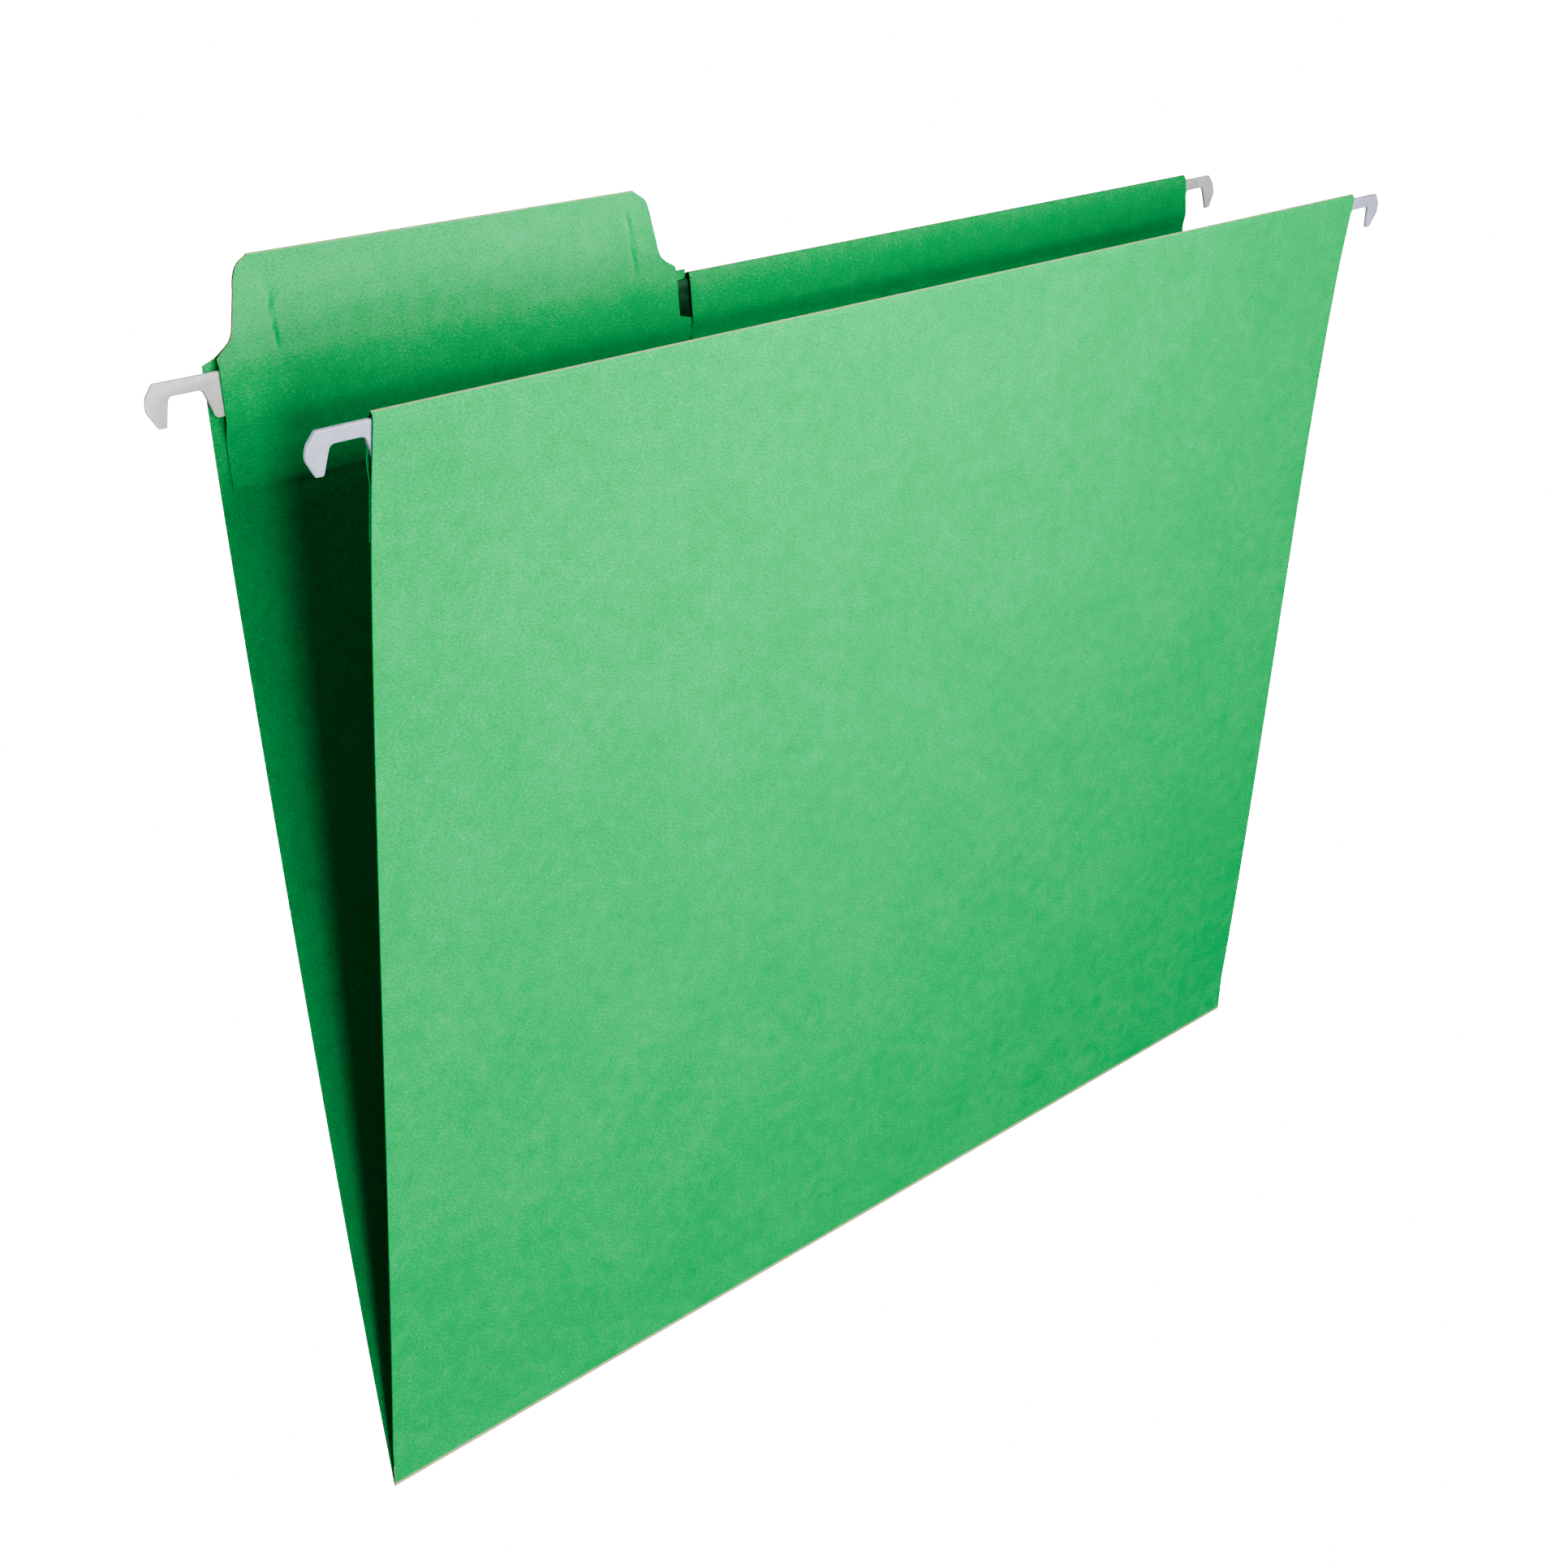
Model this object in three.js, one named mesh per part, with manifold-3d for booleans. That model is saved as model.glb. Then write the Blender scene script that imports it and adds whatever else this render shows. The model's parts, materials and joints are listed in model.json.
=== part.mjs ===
// A letter-size hanging file folder with a built-in tab, half open as it hangs between drawer rails.
//
// Axes: +X runs along the rods, -Y is the front panel's side, +Z is up. The origin lies midway between
// the four hook seats, level with the rail tops. Each rod leans outwards a little, so its sleeve is drawn in
// the rod's own section: p points out of the folder and q points up along it, with q = 0 at the seats.

import * as THREE from "three";
import { mergeVertices } from "three/addons/utils/BufferGeometryUtils.js";
import Module from "manifold-3d";

// ---- Driving dimensions, in millimetres and degrees ----

const HALF_WIDTH = 149.225; // half of the 11 3/4 in body
const CARD = 0.28; // 11 point card
const PLY_PITCH = 0.48; // middle of one ply to middle of the ply glued to it
const FILM = 0.1; // adhesive between two plies
const FILM_MARGIN = 1.5; // the film stops this far inside the crease and the flap's free edge
const FILM_END_MARGIN = 4; // and this far inside the flap's ends

const SEAT_Y = 25.5; // hook seats in front of and behind the origin
const FRONT_LEAN = 10; // how far each rod leans outwards from upright
const BACK_LEAN = 3.5;
const FOLD_Z = -235.1; // lowest fold of the folder
const FRONT_STRIP_RISE = 10.4; // each score's height above the lowest fold
const BACK_STRIP_RISE = 7;
const FRONT_SCORE_Y = -0.85;
const BACK_SCORE_Y = 1.15;
const SCORE_SETBACK = 0.25; // bare gap on each side of a score, which lets it bend both ways
const FOLD_HALF_GAP = 0.05; // half the gap between the two strips at the lowest fold

const LEG_P = 0.78; // middle of each sleeve wall, from the rod's middle
const SLEEVE_TOP_Q = 4.16; // middle of the card at the top of a sleeve
const SLEEVE_SHOULDER_Q = 2.6; // where the sleeve starts to round over
const SLEEVE_FOOT_Q = -5.7; // where the inner wall turns in under the rod
const CREASE_Q = -7.2; // crease where the flap meets the panel
const FLAP_LENGTH = 12.6; // glued flap below the crease
const FRONT_HANDLES = [39, 60]; // Bezier handle lengths of the panel's curve, top and bottom
const BACK_HANDLES = [36, 60];
const FRONT_FOOT_LEAN = 7.4; // panel's lean at its score
const BACK_FOOT_LEAN = 8.9;

const TAB_TOP_Q = 23;
const TAB_LEVEL_Q = 7; // above this the two tab plies lie flat on each other
const TAB_PLY_LEFT = -146.6; // left edge of the tab's inner ply
const WINDOW_LEFT = -32.7; // notch between the tab and the rolled sleeve
const SLEEVE_LEFT = -29; // left end of the back panel's rolled sleeve
const SLIT = 0.4; // gap between the two glued flaps
const TAB_FILM = [-134, -46]; // glued stretch of the tab, left and right
const WINDOW_FOOT_Q = -4.6;
const SHOULDER_Q = 4.2; // back ply's free edge beside the tab
const WINDOW_TOP_Q = 4.9;

const ROD_TOP_Q = 3; // strip edges and hook, measured from the seat
const ROD_FOOT_Q = -5.55;
const HOOK_THICKNESS = 1; // coated end of a rod
const STEEL_THICKNESS = 0.64;
const COAT_START = 140; // the coating begins this far from the middle
const COAT = 0.18; // coating thickness
const COAT_CLEARANCE = 0.03;

const CUTTER_DEPTH = 60; // cutters reach well past the card on both sides
const CUTTER_FLOOR = 30; // and this far below it

const CURVE_STEPS = 24;
const ROLL_STEPS = 8;
const ARC_STEPS = 5;

const wasm = await Module();
wasm.setup();

// ---- Materials ----

const materials = {
  card: { color: 0x3fb56b, roughness: 0.85, metalness: 0 },
  adhesive: { color: 0xe6dfc4, roughness: 0.5, metalness: 0 },
  steel: { color: 0x9ea3a1, roughness: 0.4, metalness: 0.9 },
  coating: { color: 0xd3d3cf, roughness: 0.45, metalness: 0 },
};

function piece(name, geometry, kind) {
  const mesh = new THREE.Mesh(geometry, new THREE.MeshStandardMaterial(materials[kind]));
  mesh.name = name;
  return mesh;
}

// ---- Joining and cutting ----

function toSolid(geometry) {
  const bare = geometry.clone();
  bare.deleteAttribute("normal");
  bare.deleteAttribute("uv");
  const merged = mergeVertices(bare, 1e-4);
  return new wasm.Manifold(
    new wasm.Mesh({
      numProp: 3,
      vertProperties: merged.attributes.position.array,
      triVerts: new Uint32Array(merged.index.array),
    }),
  );
}

function toGeometry(solid) {
  const mesh = solid.getMesh();
  const geometry = new THREE.BufferGeometry();
  geometry.setAttribute("position", new THREE.BufferAttribute(mesh.vertProperties, 3));
  geometry.setIndex(new THREE.BufferAttribute(mesh.triVerts, 1));
  geometry.computeVertexNormals();
  return geometry;
}

// ---- Outlines ----

const point = (x, y) => new THREE.Vector2(x, y);
const radians = THREE.MathUtils.degToRad;

// A closed outline through the corners, each given as [x, y, radius]; a radius of 0 stays sharp.
function roundedOutline(corners) {
  const outline = [];
  corners.forEach(([x, y, radius = 0], i) => {
    const corner = point(x, y);
    if (radius === 0) {
      outline.push(corner);
      return;
    }
    const before = corners.at(i - 1);
    const after = corners[(i + 1) % corners.length];
    const toBefore = point(before[0], before[1]).sub(corner).normalize();
    const toAfter = point(after[0], after[1]).sub(corner).normalize();
    const reach = radius / Math.tan(Math.acos(toBefore.dot(toAfter)) / 2);
    const start = corner.clone().addScaledVector(toBefore, reach);
    const end = corner.clone().addScaledVector(toAfter, reach);
    const arc = new THREE.QuadraticBezierCurve(start, corner, end);
    outline.push(...arc.getPoints(ARC_STEPS));
  });
  return outline;
}

// The same corners moved inwards by a distance, with each rounding kept concentric.
function insetCorners(corners, distance) {
  return corners.map(([x, y, radius = 0], i) => {
    const corner = point(x, y);
    const before = point(...corners.at(i - 1).slice(0, 2));
    const after = point(...corners[(i + 1) % corners.length].slice(0, 2));
    const arriving = corner.clone().sub(before).normalize();
    const leaving = after.clone().sub(corner).normalize();
    const inwardBefore = point(-arriving.y, arriving.x);
    const inwardAfter = point(-leaving.y, leaving.x);
    const middle = inwardBefore.clone().add(inwardAfter).normalize();
    const moved = corner.addScaledVector(middle, distance / middle.dot(inwardBefore));
    const turnsLeft = arriving.cross(leaving) > 0;
    const rounding = radius === 0 ? 0 : Math.max(0.1, turnsLeft ? radius - distance : radius + distance);
    return [moved.x, moved.y, rounding];
  });
}

// Unit normal at each point of a path, to the left of its direction, and the stretch that a mitre needs.
function mitres(path) {
  return path.map((here, i) => {
    const before = path[Math.max(i - 1, 0)];
    const after = path[Math.min(i + 1, path.length - 1)];
    const arriving = (i === 0 ? after.clone().sub(here) : here.clone().sub(before)).normalize();
    const leaving = (i === path.length - 1 ? here.clone().sub(before) : after.clone().sub(here)).normalize();
    const along = arriving.clone().add(leaving).normalize();
    const normal = point(-along.y, along.x);
    return normal.multiplyScalar(1 / normal.dot(point(-arriving.y, arriving.x)));
  });
}

function offsetPath(path, distance) {
  const normals = mitres(path);
  return path.map((here, i) => here.clone().addScaledVector(normals[i], distance));
}

// The outline of a sheet of a given thickness whose middle follows the path.
function thicken(path, thickness) {
  const left = offsetPath(path, thickness / 2);
  const right = offsetPath(path, -thickness / 2);
  return [...left, ...right.reverse()];
}

// The part of a path between two distances from its start.
function stretch(path, from, to) {
  const kept = [];
  let start = 0;
  for (let i = 1; i < path.length; i += 1) {
    const step = path[i].distanceTo(path[i - 1]);
    const placed = (distance) => path[i - 1].clone().lerp(path[i], (distance - start) / step);
    if (kept.length === 0 && start + step > from) kept.push(placed(from));
    if (start + step >= to) {
      kept.push(placed(to));
      return kept;
    }
    if (kept.length > 0) kept.push(path[i].clone());
    start += step;
  }
  return kept;
}

// ---- Sweeps ----

// Extrudes a section drawn in (y, z) from x0 to x1.
function extrudeAlongX(outline, x0, x1) {
  const shape = new THREE.Shape(outline);
  const geometry = new THREE.ExtrudeGeometry(shape, { depth: x1 - x0, bevelEnabled: false });
  const toX = new THREE.Matrix4().makeBasis(
    new THREE.Vector3(0, 1, 0),
    new THREE.Vector3(0, 0, 1),
    new THREE.Vector3(1, 0, 0),
  );
  return geometry.applyMatrix4(toX).translate(x0, 0, 0);
}

// Extrudes an outline drawn in (x, z) over a depth centred on y = 0.
function extrudeAlongY(outline, depth) {
  const shape = new THREE.Shape(outline);
  const geometry = new THREE.ExtrudeGeometry(shape, { depth, bevelEnabled: false });
  return geometry.rotateX(Math.PI / 2).translate(0, depth / 2, 0);
}

// ---- Each side's section ----

// side is -1 in front and 1 behind. at(p, q) gives a point of the rod's section in (y, z).
function makeSide(side, leanDegrees, scoreY, stripRise, handles, footLeanDegrees) {
  const lean = radians(leanDegrees);
  const up = point(side * Math.sin(lean), Math.cos(lean));
  const out = point(side * Math.cos(lean), -Math.sin(lean));
  const at = (p, q) => point(side * SEAT_Y, 0).addScaledVector(up, q).addScaledVector(out, p);
  const footLean = radians(footLeanDegrees);
  const footUp = point(side * Math.sin(footLean), Math.cos(footLean));
  const score = point(scoreY, FOLD_Z + stripRise);
  const top = at(LEG_P, CREASE_Q);
  const foot = score.clone().addScaledVector(footUp, SCORE_SETBACK);
  const curve = new THREE.CubicBezierCurve(
    top,
    top.clone().addScaledVector(up, -handles[0]),
    foot.clone().addScaledVector(footUp, handles[1]),
    foot,
  );
  const panel = curve.getSpacedPoints(CURVE_STEPS);
  // The offset to the inside lies left of the downward path in front and right of it behind.
  const inwards = (distance) => offsetPath(panel, -side * distance);
  return { side, lean, at, score, panel, inwards };
}

const front = makeSide(-1, FRONT_LEAN, FRONT_SCORE_Y, FRONT_STRIP_RISE, FRONT_HANDLES, FRONT_FOOT_LEAN);
const back = makeSide(1, BACK_LEAN, BACK_SCORE_Y, BACK_STRIP_RISE, BACK_HANDLES, BACK_FOOT_LEAN);

// A quarter of the sleeve's rounded top, from a shoulder to the middle.
function sleeveShoulder(side, sign) {
  const quarter = new THREE.CubicBezierCurve(
    side.at(sign * LEG_P, SLEEVE_SHOULDER_Q),
    side.at(sign * LEG_P, SLEEVE_SHOULDER_Q + 1),
    side.at(sign * LEG_P * 0.55, SLEEVE_TOP_Q),
    side.at(0, SLEEVE_TOP_Q),
  );
  return quarter.getPoints(ROLL_STEPS);
}

// The glued flap, from its free edge up to the crease.
function flapPath(side) {
  return stretch(side.inwards(PLY_PITCH), 0, FLAP_LENGTH).reverse();
}

// A panel with its rolled sleeve: up the flap, round the rod and down the panel to its score.
function sleevePath(side) {
  const outerShoulder = sleeveShoulder(side, 1);
  const innerShoulder = sleeveShoulder(side, -1);
  return [
    ...flapPath(side),
    side.at(-LEG_P, SLEEVE_FOOT_Q),
    ...innerShoulder,
    ...outerShoulder.reverse().slice(1),
    ...side.panel,
  ];
}

// One ply of the tab, from its top edge down past the rod. sign is 1 for the outer ply.
function tabPlyPath(side, sign) {
  const level = (sign * PLY_PITCH) / 2;
  const bend = new THREE.CubicBezierCurve(
    side.at(level, TAB_LEVEL_Q),
    side.at(level, TAB_LEVEL_Q - 1.5),
    side.at(sign * LEG_P, ROD_TOP_Q + 1.7),
    side.at(sign * LEG_P, ROD_TOP_Q + 0.2),
  );
  return [side.at(level, TAB_TOP_Q), ...bend.getPoints(ROLL_STEPS)];
}

// ---- Tab outline ----

// Drawn in (x, q), counter-clockwise: the base continues down past every glued flap.
function tabOutline(left, right, floor) {
  return roundedOutline([
    [left, floor],
    [right, floor],
    [right, WINDOW_TOP_Q],
    [WINDOW_LEFT + 0.6, WINDOW_TOP_Q],
    [WINDOW_LEFT + 0.2, 6],
    [-36.5, 8.2, 4],
    [-39.1, 20.9, 3],
    [-42.7, TAB_TOP_Q],
    [-137.1, TAB_TOP_Q],
    [-140.2, 21.3, 2.4],
    [-142.2, 7.9, 4],
    [TAB_PLY_LEFT, 5.2],
    [left, left === TAB_PLY_LEFT ? 5 : SHOULDER_Q],
  ]);
}

// A cutter that keeps what lies inside an outline drawn in a side's own (x, q).
function outlineCutter(side, outline) {
  const geometry = extrudeAlongY(outline, CUTTER_DEPTH);
  geometry.rotateX(-side.side * side.lean);
  return toSolid(geometry.translate(0, side.side * SEAT_Y, 0));
}

// ---- Card ----

function frontPanel() {
  return extrudeAlongX(thicken(sleevePath(front), CARD), -HALF_WIDTH, HALF_WIDTH);
}

// The rolled right part and the flat left part with the tab's outer ply, as one sheet.
function backPanel() {
  const rolled = toSolid(extrudeAlongX(thicken(sleevePath(back), CARD), SLEEVE_LEFT, HALF_WIDTH));
  const flatPath = [...tabPlyPath(back, 1), ...back.panel];
  const flat = toSolid(extrudeAlongX(thicken(flatPath, CARD), -HALF_WIDTH, SLEEVE_LEFT));
  const outline = tabOutline(-HALF_WIDTH, SLEEVE_LEFT, FOLD_Z - CUTTER_FLOOR);
  return toGeometry(flat.intersect(outlineCutter(back, outline)).add(rolled));
}

// The tab's inner ply, which passes in front of the rod and is glued to the panel below it.
function tabFrontPly() {
  const path = [...tabPlyPath(back, -1), back.at(-LEG_P, SLEEVE_FOOT_Q), ...flapPath(back).reverse()];
  const right = SLEEVE_LEFT - SLIT;
  const sheet = toSolid(extrudeAlongX(thicken(path, CARD), TAB_PLY_LEFT, right));
  const outline = tabOutline(TAB_PLY_LEFT, right, CREASE_Q - FLAP_LENGTH - CUTTER_FLOOR);
  const kept = sheet.intersect(outlineCutter(back, outline));
  const window = outlineCutter(back, [
    point(WINDOW_LEFT, WINDOW_FOOT_Q),
    point(0, WINDOW_FOOT_Q),
    point(0, TAB_LEVEL_Q),
    point(WINDOW_LEFT, TAB_LEVEL_Q),
  ]);
  return toGeometry(kept.subtract(window));
}

// A strip between a score and the lowest fold.
function bottomStrip({ side, score }) {
  const foot = point(side * (FOLD_HALF_GAP + CARD / 2), FOLD_Z);
  const downwards = foot.clone().sub(score).normalize();
  const top = score.clone().addScaledVector(downwards, SCORE_SETBACK);
  return extrudeAlongX(thicken([top, foot], CARD), -HALF_WIDTH, HALF_WIDTH);
}

// ---- Adhesive ----

// A film in the middle of the gap between a panel and its flap, which runs from x0 to x1.
function flapAdhesive(side, x0, x1) {
  const path = stretch(side.inwards(PLY_PITCH / 2), FILM_MARGIN, FLAP_LENGTH - FILM_MARGIN);
  return extrudeAlongX(thicken(path, FILM), x0 + FILM_END_MARGIN, x1 - FILM_END_MARGIN);
}

function tabAdhesive() {
  const path = [back.at(0, TAB_LEVEL_Q + 1.5), back.at(0, TAB_TOP_Q - 2)];
  return extrudeAlongX(thicken(path, FILM), ...TAB_FILM);
}

// ---- Rods ----

// One end of a rod in (x, q), from the foot of the strip round the hook to its top edge.
const HOOK_CORNERS = [
  [148.1, ROD_FOOT_Q, 0.9],
  [150.4, 0, 1.4],
  [157.5, 0, 1.3],
  [158.6, ROD_FOOT_Q, 0.4],
  [160.2, ROD_FOOT_Q, 0.5],
  [162.5, -2, 2.2],
  [162.2, 0.6, 2.2],
  [160.4, ROD_TOP_Q, 0.8],
];

function rodCorners() {
  const mirrored = HOOK_CORNERS.map(([x, q, radius]) => [-x, q, radius]).reverse();
  return [...HOOK_CORNERS, ...mirrored];
}

function steelRod() {
  return extrudeAlongY(roundedOutline(insetCorners(rodCorners(), COAT)), STEEL_THICKNESS);
}

// The dipped coating over one end, open where the bare strip comes out of it.
function rodTip(sign) {
  const whole = toSolid(extrudeAlongY(roundedOutline(rodCorners()), HOOK_THICKNESS));
  const coreCorners = insetCorners(rodCorners(), COAT - COAT_CLEARANCE);
  const coreThickness = STEEL_THICKNESS + 2 * COAT_CLEARANCE;
  const core = toSolid(extrudeAlongY(roundedOutline(coreCorners), coreThickness));
  const block = new THREE.BoxGeometry(CUTTER_DEPTH, CUTTER_DEPTH, CUTTER_DEPTH);
  const end = toSolid(block.translate(sign * (COAT_START + CUTTER_DEPTH / 2), 0, 0));
  return toGeometry(whole.subtract(core).intersect(end));
}

function rodGroup(name, { side, lean }) {
  const group = new THREE.Group();
  group.add(piece(`${name}_rod`, steelRod(), "steel"));
  group.add(piece(`${name}_rod_left_tip`, rodTip(-1), "coating"));
  group.add(piece(`${name}_rod_right_tip`, rodTip(1), "coating"));
  group.position.set(0, side * SEAT_Y, 0);
  group.rotation.x = -side * lean;
  return group;
}

// ---- Assembly ----

const folder = new THREE.Group();
folder.add(piece("front_panel", frontPanel(), "card"));
folder.add(piece("front_bottom_strip", bottomStrip(front), "card"));
folder.add(piece("back_bottom_strip", bottomStrip(back), "card"));
folder.add(piece("back_panel", backPanel(), "card"));
folder.add(piece("tab_front_ply", tabFrontPly(), "card"));
folder.add(piece("front_flap_adhesive", flapAdhesive(front, -HALF_WIDTH, HALF_WIDTH), "adhesive"));
folder.add(piece("back_flap_adhesive", flapAdhesive(back, SLEEVE_LEFT, HALF_WIDTH), "adhesive"));
folder.add(piece("tab_flap_adhesive", flapAdhesive(back, TAB_PLY_LEFT, SLEEVE_LEFT), "adhesive"));
folder.add(piece("tab_adhesive", tabAdhesive(), "adhesive"));
folder.add(rodGroup("front", front));
folder.add(rodGroup("back", back));

export default folder;
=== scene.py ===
"""Looks of a letter-size hanging file folder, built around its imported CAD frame.

The card is one sheet. It is drawn here as three meshes, because each can bend at one crease only: the
front panel bends at the front score, the gusset at the lowest fold and the back panel at the back score.
They meet halfway along the two bottom strips.

Lengths in this script are millimetres until a mesh is made. In the section of one side, p points out of
the folder from the rod's middle, and q points up along the rod's plane from the seats under its hooks.
"""

import json
import math

import bmesh
import bpy
import numpy as np
from mathutils import Matrix, Vector, noise


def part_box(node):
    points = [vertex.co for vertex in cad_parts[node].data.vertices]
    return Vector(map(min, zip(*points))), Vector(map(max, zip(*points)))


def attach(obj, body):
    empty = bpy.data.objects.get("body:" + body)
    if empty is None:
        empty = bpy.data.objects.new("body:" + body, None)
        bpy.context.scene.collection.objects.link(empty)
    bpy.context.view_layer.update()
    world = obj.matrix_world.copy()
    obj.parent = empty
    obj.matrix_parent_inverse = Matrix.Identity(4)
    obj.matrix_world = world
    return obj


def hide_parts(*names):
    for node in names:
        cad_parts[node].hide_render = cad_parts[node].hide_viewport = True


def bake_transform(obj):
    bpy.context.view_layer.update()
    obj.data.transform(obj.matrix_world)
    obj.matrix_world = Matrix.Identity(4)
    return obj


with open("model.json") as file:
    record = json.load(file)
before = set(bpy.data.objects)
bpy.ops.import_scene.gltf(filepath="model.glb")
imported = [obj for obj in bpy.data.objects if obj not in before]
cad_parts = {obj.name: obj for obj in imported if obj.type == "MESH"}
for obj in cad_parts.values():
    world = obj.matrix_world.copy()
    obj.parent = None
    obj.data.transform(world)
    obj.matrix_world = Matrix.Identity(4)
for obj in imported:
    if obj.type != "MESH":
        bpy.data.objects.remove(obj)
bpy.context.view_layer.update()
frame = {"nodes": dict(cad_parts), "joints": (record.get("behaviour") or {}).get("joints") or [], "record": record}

MM = 0.001
record = frame["record"]
mounts = {mount["name"]: mount for mount in record["mounts"]}
joints = {joint["name"]: joint for joint in frame["joints"]}

# ---- Sizes that are the CAD's too, in millimetres ----

CARD = 0.28  # thickness of the card
PLY_PITCH = 0.48  # middle of one ply to middle of the ply glued to it
LEG_P = 0.78  # middle of each sleeve wall, from the rod's middle
SLEEVE_TOP_Q = 4.16
SLEEVE_SHOULDER_Q = 2.6  # where a sleeve starts to round over
CREASE_Q = -7.2
FLAP_LENGTH = 12.6
FRONT_HANDLES = (39, 60)  # lengths of the panel curve's handles, at its crease and at its score
BACK_HANDLES = (36, 60)
FRONT_FOOT_LEAN = 7.4  # lean of the panel at its score, in degrees
BACK_FOOT_LEAN = 8.9
TAB_TOP_Q = 23
TAB_PLY_LEFT = -146.6  # left edge of the tab's inner ply beside the rod
WINDOW_LEFT = -32.7  # the window between the tab's inner ply and the back sleeve, which shows the rod
WINDOW_FOOT_Q = -4.6
WINDOW_TOP_Q = 4.9
SLEEVE_LEFT = -29  # left end of the back sleeve
SLIT = 0.4  # gap between the tab's flap and the sleeve's, below the window
SHOULDER_Q = 4.2  # top of the outer ply's left corner
ROD_TOP_Q = 3
ROD_FOOT_Q = -5.55
HOOK_THICKNESS = 1
STEEL_THICKNESS = 0.64
COAT_START = 140  # the coating covers the strip from here to its end
COAT = 0.18
COAT_CLEARANCE = 0.03

HALF_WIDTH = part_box("front_panel")[1].x / MM

# ---- Sizes of the looks alone, in millimetres ----

FOLD_R = 0.19  # middle of the card round the lowest fold
SLEEVE_FOOT_Q = -5.4  # where the inner wall starts to turn in under the rod, 0.3 mm above the CAD's
SLEEVE_TURN = 2.4  # how far below the crease a sleeve's flap starts to turn in under the rod
TAB_TURN = 4.5  # the same for the tab's inner ply
TAB_LEVEL_Q = 8  # above this the two tab plies lie flat on each other, 1 mm above the CAD's
TAB_FINE_Q = 19.5  # rows lie closer together above this, for the tab's corners
STRIP_ROUNDING = 0.08
COAT_ROUNDING = 0.34
SEAM_REACH = 0.6  # a crease bends over this length on each side
EMBOSS_DEPTH = 0.26
EMBOSS_WIDTH = 0.7
WARP = 0.22  # how far the big flat areas wander from their plane
WARP_WAVE = 95
WARP_BORDERS = (12, 222)  # distances down a panel between which it wanders
WARP_FADE = 40
WEAR_REACH = 0.42  # how far wear reaches from the middle of a fold
TAB_WEAR_REACH = 0.25
COLUMN_WIDTH = 4

# ---- Colours of the card ----

CARD_DARK = (0.0, 0.32, 0.075)
CARD_MIDDLE = (0.009, 0.40, 0.105)
CARD_LIGHT = (0.065, 0.47, 0.17)
EDGE_DARK_GREEN = (0.02, 0.22, 0.07)
EDGE_STAINED = (0.14, 0.36, 0.13)
EDGE_TAN = (0.52, 0.44, 0.28)
EDGE_PALE = (0.70, 0.58, 0.42)
WEAR_TAN = (0.64, 0.54, 0.37)

# ---- Paths in a side's section ----


def bezier(p0, p1, p2, p3, steps):
    """Points of a cubic Bezier, both ends included."""
    t = np.linspace(0, 1, steps + 1)[:, None]
    p0, p1, p2, p3 = (np.asarray(p, float) for p in (p0, p1, p2, p3))
    return (1 - t) ** 3 * p0 + 3 * t * (1 - t) ** 2 * p1 + 3 * t**2 * (1 - t) * p2 + t**3 * p3


def straight(start, end, step):
    """Points from start to end, both included, no further apart than step."""
    start, end = np.asarray(start, float), np.asarray(end, float)
    count = max(1, math.ceil(np.linalg.norm(end - start) / step))
    return start + (end - start) * np.linspace(0, 1, count + 1)[:, None]


def chain(*stretches):
    """One path out of stretches that each start where the last one ended."""
    joined = [stretches[0]] + [stretch[1:] for stretch in stretches[1:]]
    return np.vstack(joined)


def lengths_along(path):
    """The distance along a path of each of its points from the first one."""
    return np.concatenate([[0], np.cumsum(np.linalg.norm(np.diff(path, axis=0), axis=1))])


def normals_of(path):
    """Unit normals to the left of the path's direction."""
    along = np.gradient(path, axis=0)
    along /= np.linalg.norm(along, axis=1)[:, None]
    return np.stack([-along[:, 1], along[:, 0]], axis=1)


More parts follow.
